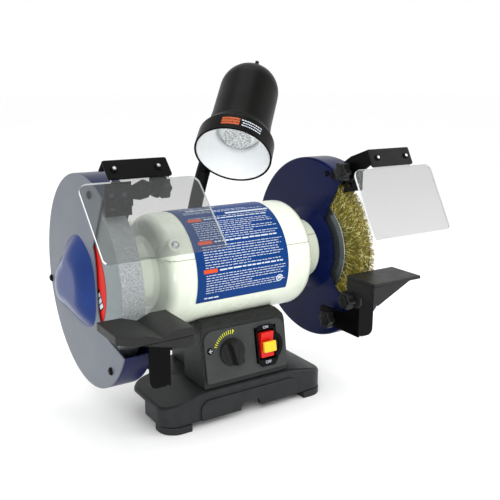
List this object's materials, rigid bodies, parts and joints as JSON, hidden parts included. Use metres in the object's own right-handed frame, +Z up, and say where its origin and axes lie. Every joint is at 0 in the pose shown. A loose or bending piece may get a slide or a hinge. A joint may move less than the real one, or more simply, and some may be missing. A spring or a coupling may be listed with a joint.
{
  "type": "bench grinder",
  "caption": "Double-ended bench grinder with an abrasive wheel, a wire wheel, guards, clear eye shields, tilting tool rests, a speed dial, a keyed paddle switch and a gooseneck work lamp.",
  "frame": {"origin": "bottom centre of the bounding box, on the bench surface", "axes": "+X along the spindle towards the wire wheel, -Y towards the operator, +Z up"},
  "size_m": [0.4446, 0.3094, 0.4217],
  "materials": {
    "cast_black": "black textured enamel on cast iron",
    "foot_rubber": "matt black rubber",
    "panel_plastic": "fine-textured black moulding",
    "red_plastic": "satin red moulding",
    "yellow_plastic": "satin yellow moulding",
    "cream_paint": "smooth pale greenish-white enamel",
    "label_blue": "printed blue film",
    "blue_paint": "dark blue gloss enamel",
    "black_steel": "black satin coating",
    "knob_plastic": "black moulding",
    "bright_steel": "machined and zinc-plated steel",
    "lamination": "stacked electrical steel",
    "copper_wire": "varnished copper wire",
    "abrasive": "grey bonded abrasive grain",
    "blotter_paper": "printed paper disc",
    "brass_wire": "crimped brass-coated wire",
    "clear_plastic": "clear polycarbonate",
    "lamp_black": "satin black moulding",
    "reflector_white": "white reflector enamel",
    "board_green": "coated circuit board"
  },
  "bodies": {
    "frame": {"base_casting": "cast_black", "foot_front_left": "foot_rubber", "foot_front_right": "foot_rubber", "foot_rear_left": "foot_rubber", "foot_rear_right": "foot_rubber", "pedestal_casting": "cast_black", "control_panel": "panel_plastic", "switch_body": "panel_plastic", "speed_control_board": "board_green", "speed_potentiometer": "bright_steel", "cord_gland": "panel_plastic", "motor_housing_lower": "cream_paint", "motor_housing_upper": "cream_paint", "rating_label": "label_blue", "stator_core": "lamination", "stator_winding": "copper_wire", "bearing_left": "bright_steel", "bearing_right": "bright_steel", "guard_left": "blue_paint", "guard_right": "blue_paint", "guard_cover_left": "blue_paint", "guard_cover_right": "blue_paint", "lamp_socket": "black_steel", "gooseneck_lower": "lamp_black"},
    "spindle": {"spindle_shaft": "bright_steel", "rotor_core": "lamination", "grinding_wheel": "abrasive", "wheel_blotter": "blotter_paper", "wheel_flange_inner": "bright_steel", "wheel_flange_outer": "bright_steel", "spindle_nut_left": "bright_steel", "spindle_nut_right": "bright_steel", "wire_wheel_hub": "bright_steel", "wire_wheel_bristles": "brass_wire"},
    "shield_left": {"eye_shield_left": "clear_plastic", "eye_shield_bracket_left": "black_steel"},
    "shield_right": {"eye_shield_right": "clear_plastic", "eye_shield_bracket_right": "black_steel"},
    "shield_knob_left": {"shield_knob_left": "knob_plastic"},
    "shield_knob_right": {"shield_knob_right": "knob_plastic"},
    "arrestor_left": {"spark_arrestor_left": "black_steel"},
    "arrestor_right": {"spark_arrestor_right": "black_steel"},
    "rest_arm_left": {"rest_arm_left": "black_steel"},
    "rest_arm_right": {"rest_arm_right": "black_steel"},
    "tool_rest_left": {"tool_rest_left": "black_steel"},
    "tool_rest_right": {"tool_rest_right": "black_steel"},
    "tilt_knob_left": {"rest_tilt_knob_left": "knob_plastic"},
    "tilt_knob_right": {"rest_tilt_knob_right": "knob_plastic"},
    "arm_knob_left": {"rest_arm_knob_left": "knob_plastic"},
    "arm_knob_right": {"rest_arm_knob_right": "knob_plastic"},
    "dial": {"speed_dial": "panel_plastic"},
    "paddle": {"switch_paddle": "red_plastic"},
    "key": {"safety_key": "yellow_plastic"},
    "neck_middle": {"gooseneck_middle": "lamp_black"},
    "neck_upper": {"gooseneck_upper": "lamp_black"},
    "lamp_head": {"lamp_shade": "lamp_black", "lamp_reflector": "reflector_white", "led_board": "reflector_white"},
    "lamp_button": {"lamp_switch": "lamp_black"}
  },
  "joints": [
    {"name": "spindle_spin", "type": "hinge", "parent": "frame", "child": "spindle", "pos_m": [0, 0.03368, 0.177], "axis": [1, 0, 0], "continuous": true},
    {"name": "shield_tilt_left", "type": "hinge", "parent": "frame", "child": "shield_left", "pos_m": [-0.1288, -0.05832, 0.291], "axis": [1, 0, 0], "range_deg": [-70, 18]},
    {"name": "shield_knob_turn_left", "type": "hinge", "parent": "frame", "child": "shield_knob_left", "pos_m": [-0.119, -0.05832, 0.291], "axis": [1, 0, 0], "continuous": true},
    {"name": "arrestor_slide_left", "type": "slide", "parent": "frame", "child": "arrestor_left", "axis": [0, 0, -1], "range_m": [-0.004, 0.006]},
    {"name": "rest_slide_left", "type": "slide", "parent": "frame", "child": "rest_arm_left", "axis": [0, -1, 0], "range_m": [0, 0.018]},
    {"name": "rest_tilt_left", "type": "hinge", "parent": "rest_arm_left", "child": "tool_rest_left", "pos_m": [-0.127, -0.07732, 0.135], "axis": [1, 0, 0], "range_deg": [0, 25]},
    {"name": "tilt_knob_turn_left", "type": "hinge", "parent": "rest_arm_left", "child": "tilt_knob_left", "pos_m": [-0.117, -0.07732, 0.135], "axis": [1, 0, 0], "continuous": true},
    {"name": "arm_knob_turn_left", "type": "hinge", "parent": "frame", "child": "arm_knob_left", "pos_m": [-0.121, -0.03632, 0.098], "axis": [1, 0, 0], "continuous": true},
    {"name": "shield_tilt_right", "type": "hinge", "parent": "frame", "child": "shield_right", "pos_m": [0.1288, -0.05832, 0.291], "axis": [1, 0, 0], "range_deg": [-70, 18]},
    {"name": "shield_knob_turn_right", "type": "hinge", "parent": "frame", "child": "shield_knob_right", "pos_m": [0.119, -0.05832, 0.291], "axis": [1, 0, 0], "continuous": true},
    {"name": "arrestor_slide_right", "type": "slide", "parent": "frame", "child": "arrestor_right", "axis": [0, 0, -1], "range_m": [-0.004, 0.006]},
    {"name": "rest_slide_right", "type": "slide", "parent": "frame", "child": "rest_arm_right", "axis": [0, -1, 0], "range_m": [0, 0.018]},
    {"name": "rest_tilt_right", "type": "hinge", "parent": "rest_arm_right", "child": "tool_rest_right", "pos_m": [0.127, -0.07732, 0.135], "axis": [1, 0, 0], "range_deg": [0, 25]},
    {"name": "tilt_knob_turn_right", "type": "hinge", "parent": "rest_arm_right", "child": "tilt_knob_right", "pos_m": [0.117, -0.07732, 0.135], "axis": [1, 0, 0], "continuous": true},
    {"name": "arm_knob_turn_right", "type": "hinge", "parent": "frame", "child": "arm_knob_right", "pos_m": [0.121, -0.03632, 0.098], "axis": [1, 0, 0], "continuous": true},
    {"name": "dial_turn", "type": "hinge", "parent": "frame", "child": "dial", "pos_m": [-0.021, -0.02968, 0.082], "axis": [0, -0.9834, 0.1816], "range_deg": [-135, 135]},
    {"name": "paddle_rock", "type": "hinge", "parent": "frame", "child": "paddle", "pos_m": [0.0275, -0.02986, 0.08102], "axis": [1, 0, 0], "range_deg": [-12, 0]},
    {"name": "key_pull", "type": "slide", "parent": "paddle", "child": "key", "axis": [0, -0.9834, 0.1816], "range_m": [0, 0.022]},
    {"name": "neck_bend_low", "type": "hinge", "parent": "frame", "child": "neck_middle", "pos_m": [0.00438, 0.11568, 0.187], "axis": [1, 0, 0], "range_deg": [-15, 8]},
    {"name": "neck_bend_high", "type": "hinge", "parent": "neck_middle", "child": "neck_upper", "pos_m": [0.01818, 0.11568, 0.252], "axis": [0, 1, 0], "range_deg": [-15, 12]},
    {"name": "lamp_tilt", "type": "hinge", "parent": "neck_upper", "child": "lamp_head", "pos_m": [0.03514, 0.11568, 0.303], "axis": [1, 0, 0], "range_deg": [-30, 8]},
    {"name": "lamp_button_press", "type": "slide", "parent": "lamp_head", "child": "lamp_button", "axis": [-0.309, 0, -0.9511], "range_m": [0, 0.003], "stiffness_N_per_m": 200, "springref_m": -0.002}
  ]
}
